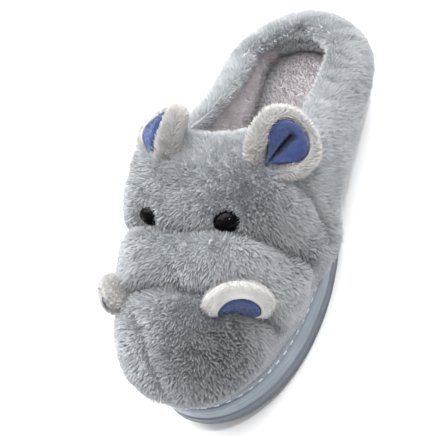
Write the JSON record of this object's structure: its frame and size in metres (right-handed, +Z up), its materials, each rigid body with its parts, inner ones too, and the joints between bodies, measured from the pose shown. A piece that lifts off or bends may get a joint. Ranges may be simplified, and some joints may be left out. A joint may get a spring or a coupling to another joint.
{
  "type": "animal slipper",
  "caption": "Plush house slipper shaped as a hippopotamus head, with upright ears, nostril flaps, button eyes, a low padded heel band and a thick foam sole.",
  "frame": {"origin": "on the floor under the centre of the heel seat", "axes": "+Z up, -Y towards the toe, +X towards the wearer's outer side of this left slipper"},
  "size_m": [0.1214, 0.271, 0.1259],
  "materials": {
    "sole": "matt moulded foam",
    "insole": "short fleece",
    "upper": "plush pile",
    "ears": "pale plush pile",
    "lining": "short blue plush",
    "eyes": "polished black"
  },
  "bodies": {
    "root": {"ear_inner": "ears", "ear_inner_lining": "lining", "ear_outer": "ears", "ear_outer_lining": "lining", "eye_inner": "eyes", "eye_outer": "eyes", "insole": "insole", "nostril_inner": "ears", "nostril_inner_lining": "lining", "nostril_outer": "ears", "nostril_outer_lining": "lining", "sole": "sole", "upper": "upper"}
  },
  "joints": []
}
